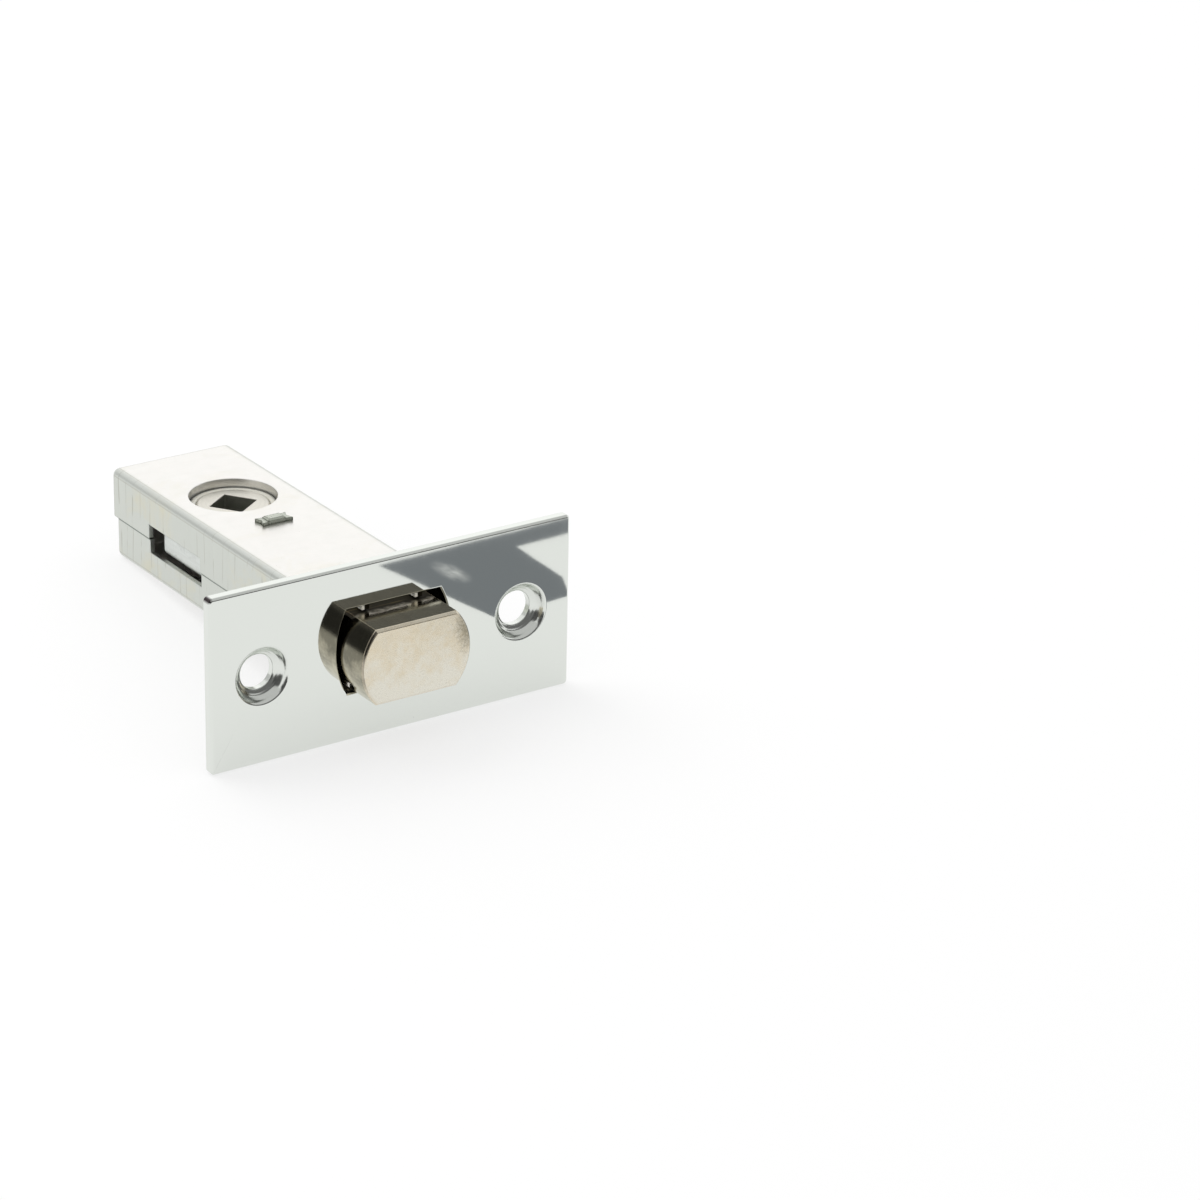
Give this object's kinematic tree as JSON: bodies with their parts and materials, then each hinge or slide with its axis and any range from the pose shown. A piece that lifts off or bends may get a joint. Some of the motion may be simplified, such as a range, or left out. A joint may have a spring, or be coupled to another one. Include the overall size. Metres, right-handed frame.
{
  "type": "tubular deadbolt",
  "caption": "Tubular deadbolt with a flat faceplate, a two-part folded case, a flatted sliding bolt and a square-socket follower that moves it.",
  "frame": {"origin": "on the faceplate's front face, on the bolt's centre line, midway between the two screw holes", "axes": "+X along the faceplate, +Y into the door, +Z across the door's thickness, along the spindle"},
  "size_m": [0.057, 0.068, 0.0254],
  "materials": {
    "polished_chrome": "mirror-polished chrome plate",
    "zinc_plated_sheet": "bright zinc plate on folded steel sheet",
    "staked_steel": "upset steel with worn zinc plate",
    "acetal_bush": "satin natural plastic",
    "spring_steel": "rolled spring steel",
    "nickel_plated_brass": "satin nickel plate with fine wear",
    "tail_steel": "zinc plated pressed steel",
    "cast_zinc": "as-cast zinc alloy",
    "pin_steel": "ground steel"
  },
  "bodies": {
    "lock_case": {"faceplate": "polished_chrome", "upper_case": "zinc_plated_sheet", "lower_case": "zinc_plated_sheet", "case_post": "staked_steel", "upper_bush": "acetal_bush", "lower_bush": "acetal_bush", "upper_detent_spring": "spring_steel", "lower_detent_spring": "spring_steel"},
    "bolt": {"bolt_head": "nickel_plated_brass", "bolt_tail": "tail_steel", "left_bolt_rivet": "nickel_plated_brass", "right_bolt_rivet": "nickel_plated_brass"},
    "follower": {"follower_lower": "cast_zinc", "follower_upper": "cast_zinc", "drive_pin": "pin_steel"}
  },
  "joints": [
    {"name": "bolt_slide", "type": "slide", "parent": "lock_case", "child": "bolt", "axis": [0, -1, 0], "range_m": [-0.00587, 0.00373]},
    {"name": "follower_turn", "type": "hinge", "parent": "lock_case", "child": "follower", "pos_m": [0, 0.0435, 0], "axis": [0, 0, -1], "range_deg": [-55, 35]}
  ],
  "couplings": [
    {"joint": "follower_turn", "follows": "bolt_slide", "rad_per_m": 163.62}
  ]
}
